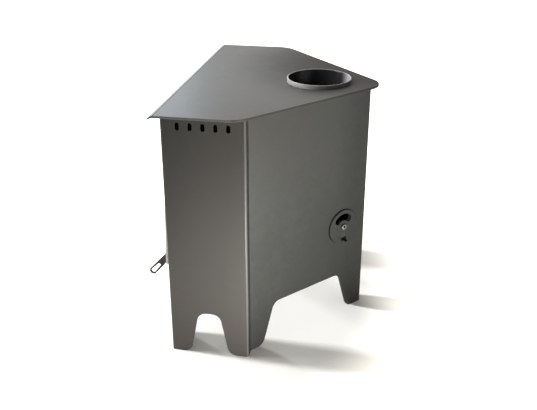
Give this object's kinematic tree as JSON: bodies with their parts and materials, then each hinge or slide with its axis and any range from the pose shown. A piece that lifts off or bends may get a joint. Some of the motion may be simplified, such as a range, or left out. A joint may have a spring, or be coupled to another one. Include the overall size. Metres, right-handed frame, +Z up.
{
  "type": "freestanding wood-burning stove",
  "caption": "Corner wood-burning stove with a five-sided top plate, flue socket, arched legs, vented side shields, hinged glass door, latch handle, ash drawer and rotary air damper.",
  "frame": {"origin": "Centre of the stove's bounding box in plan, on the floor.", "axes": "+X to the right as seen from the front, which is the side that the picture shows; -Y the way the door faces; +Y towards the pointed back; +Z up."},
  "size_m": [0.5, 0.3956, 0.457],
  "materials": {
    "stove_paint": "satin heat-resistant paint, dark grey",
    "dark_paint": "matt heat-resistant paint, near black",
    "bare_steel": "plain steel, lightly brushed",
    "cast_iron": "as cast, matt",
    "fire_brick": "pressed vermiculite board, matt",
    "seal_rope": "woven glass-fibre rope and tape",
    "fire_glass": "clear ceramic glass, faint brown"
  },
  "bodies": {
    "stove_body": {"top_plate": "stove_paint", "flue_collar": "dark_paint", "front_panel": "stove_paint", "side_wall_right": "dark_paint", "side_wall_left": "dark_paint", "rear_panel_right": "stove_paint", "rear_panel_left": "stove_paint", "side_shield_right": "stove_paint", "side_shield_left": "stove_paint", "bottom_plate": "dark_paint", "floor_plate": "dark_paint", "grate": "cast_iron", "floor_brick_left": "fire_brick", "floor_brick_right": "fire_brick", "floor_brick_rear": "fire_brick", "side_brick_right": "fire_brick", "side_brick_left": "fire_brick", "rear_brick_right": "fire_brick", "rear_brick_left": "fire_brick", "baffle_plate": "cast_iron", "log_guard": "cast_iron", "brick_stops": "dark_paint", "air_duct": "dark_paint", "drawer_rails": "dark_paint", "hinge_eyes_body": "stove_paint", "hinge_pins": "bare_steel", "damper_pivot": "bare_steel", "damper_washer": "stove_paint", "damper_nut": "bare_steel"},
    "door": {"door_frame": "stove_paint", "seal_strip": "dark_paint", "door_rope": "seal_rope", "glass_tape": "seal_rope", "door_glass": "fire_glass", "glass_clips": "bare_steel", "clip_screws": "bare_steel", "hinge_eyes_door": "stove_paint", "latch_bush": "bare_steel"},
    "latch": {"latch_spindle": "bare_steel", "latch_arm": "bare_steel", "latch_grip": "dark_paint", "latch_tongue": "bare_steel", "latch_nut": "bare_steel"},
    "damper": {"damper_disc": "stove_paint"},
    "ash_drawer": {"ash_pan": "bare_steel", "drawer_front": "stove_paint", "drawer_tape_seal": "seal_rope", "drawer_knob": "cast_iron", "drawer_screw": "bare_steel"}
  },
  "joints": [
    {"name": "door_hinge", "type": "hinge", "parent": "stove_body", "child": "door", "pos_m": [-0.202, -0.14394, 0.28], "axis": [0, 0, -1], "range_deg": [0, 110]},
    {"name": "latch_turn", "type": "hinge", "parent": "door", "child": "latch", "pos_m": [0.155, -0.14944, 0.265], "axis": [0, -1, 0], "range_deg": [0, 45]},
    {"name": "damper_turn", "type": "hinge", "parent": "stove_body", "child": "damper", "pos_m": [0.04341, 0.14724, 0.184], "axis": [0.652, 0.7582, 0], "range_deg": [-119, 11]},
    {"name": "drawer_slide", "type": "slide", "parent": "stove_body", "child": "ash_drawer", "axis": [0, -1, 0], "range_m": [0, 0.15]}
  ]
}
